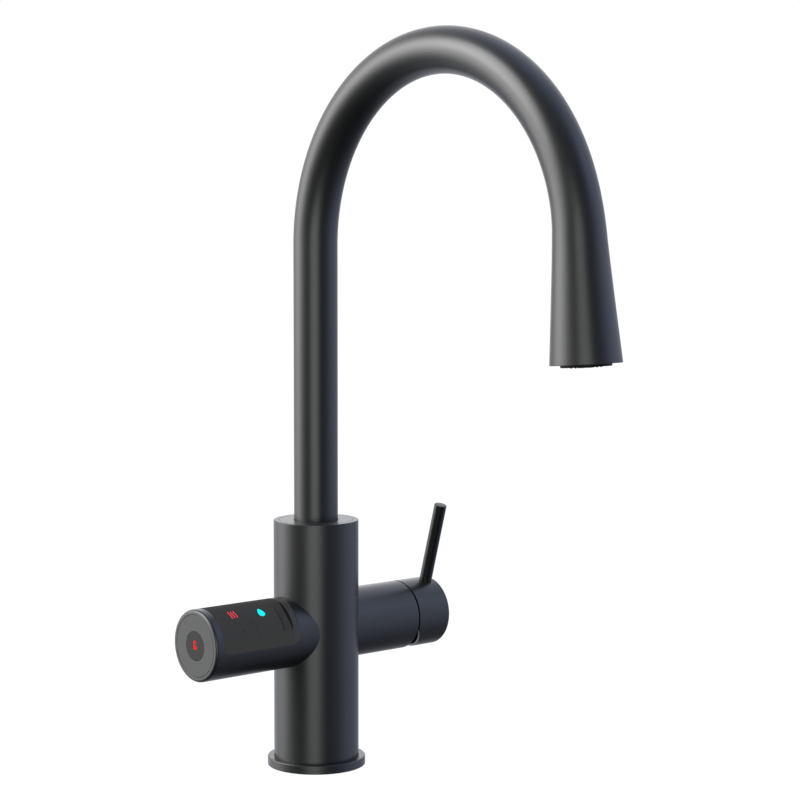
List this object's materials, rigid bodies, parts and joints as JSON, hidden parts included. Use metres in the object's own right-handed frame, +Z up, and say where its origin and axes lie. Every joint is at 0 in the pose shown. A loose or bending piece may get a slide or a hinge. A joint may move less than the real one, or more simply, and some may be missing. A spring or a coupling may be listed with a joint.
{
  "type": "boiling water tap",
  "caption": "Tall gooseneck kitchen mixer that also gives boiling water, with a swivelling spout, a side mixing lever and a touch control pod with a press-to-unlock end.",
  "frame": {"origin": "centre of the column at the underside of the base flange, on the worktop", "axes": "+Z up along the column and the spout's swivel axis; the spout reaches towards -Y; the control pod points to -X and the mixing lever to +X"},
  "size_m": [0.1713, 0.2615, 0.4176],
  "materials": {
    "black_finish": "fine matt powder coat",
    "brass": "machined, inside the tap",
    "steel": "plain stainless steel",
    "rubber": "matt black seal rubber",
    "bearing_plastic": "off-white bearing plastic",
    "dark_plastic": "satin black plastic",
    "gloss_panel": "smooth near-black touch panel",
    "cap_grey": "satin dark grey disc",
    "ceramic": "lapped white ceramic",
    "board_green": "green circuit board",
    "clear_plastic": "clear light guide"
  },
  "bodies": {
    "column": {"base_flange": "black_finish", "base_seal": "rubber", "base_plate": "brass", "body_column": "black_finish", "body_cap": "black_finish", "hot_feed_pipe": "steel", "cold_feed_pipe": "steel", "mixed_riser": "steel", "boil_riser": "steel", "boil_swivel_sleeve": "bearing_plastic", "spout_socket": "brass", "spout_bearing_lower": "bearing_plastic", "spout_bearing_upper": "bearing_plastic", "spout_o_ring_lower": "rubber", "spout_o_ring_upper": "rubber", "swivel_stop_pin": "steel", "lever_housing": "black_finish", "cartridge_seat": "brass", "cartridge_seal": "rubber", "cartridge_body": "bearing_plastic", "ceramic_disc_fixed": "ceramic", "cartridge_nut": "brass", "cartridge_cover": "dark_plastic", "pod_housing": "black_finish", "touch_panel": "gloss_panel", "panel_gasket": "rubber", "board_carrier": "dark_plastic", "control_board": "board_green", "board_screw_inner": "steel", "board_screw_outer": "steel", "steam_light_guide": "clear_plastic", "drop_light_guide": "clear_plastic", "pod_stub": "brass", "pod_stub_nut": "brass", "end_cap_disc": "cap_grey", "end_cap_seal": "rubber", "end_board": "board_green", "return_dome": "rubber", "lock_switch": "steel"},
    "spout": {"spout_tube": "black_finish", "spout_clip": "steel", "boil_tube": "steel", "outlet_insert": "dark_plastic", "outlet_o_ring": "rubber", "nozzle_plate": "rubber"},
    "lever_turner": {"cartridge_rotor": "bearing_plastic", "stem_pivot_pin": "steel"},
    "disc_slider": {"ceramic_disc_moving": "ceramic", "disc_carrier": "bearing_plastic"},
    "lever": {"cartridge_stem": "brass", "lever_hub": "black_finish", "lever_rod": "black_finish", "lever_grub_screw": "steel", "grub_screw_plug": "dark_plastic"},
    "lock_button_body": {"lock_button": "dark_plastic", "lock_light_guide": "clear_plastic"}
  },
  "joints": [
    {"name": "spout_swivel", "type": "hinge", "parent": "column", "child": "spout", "pos_m": [0, 0, 0.12], "axis": [0, 0, 1], "range_deg": [-60, 60]},
    {"name": "lever_turn", "type": "hinge", "parent": "column", "child": "lever_turner", "pos_m": [0.056, 0, 0.0799], "axis": [1, 0, 0], "range_deg": [-46, 54]},
    {"name": "lever_tilt", "type": "hinge", "parent": "lever_turner", "child": "lever", "pos_m": [0.056, 0, 0.0799], "axis": [0, 0.9613, 0.2756], "range_deg": [0, 20]},
    {"name": "disc_slide", "type": "slide", "parent": "lever_turner", "child": "disc_slider", "axis": [0, -0.2756, 0.9613], "range_m": [0, 0.0042]},
    {"name": "lock_press", "type": "slide", "parent": "column", "child": "lock_button_body", "axis": [1, 0, 0], "range_m": [0, 0.0008], "stiffness_N_per_m": 1000, "springref_m": -0.0008}
  ],
  "couplings": [
    {"joint": "disc_slide", "follows": "lever_tilt", "m_per_rad": 0.012}
  ]
}
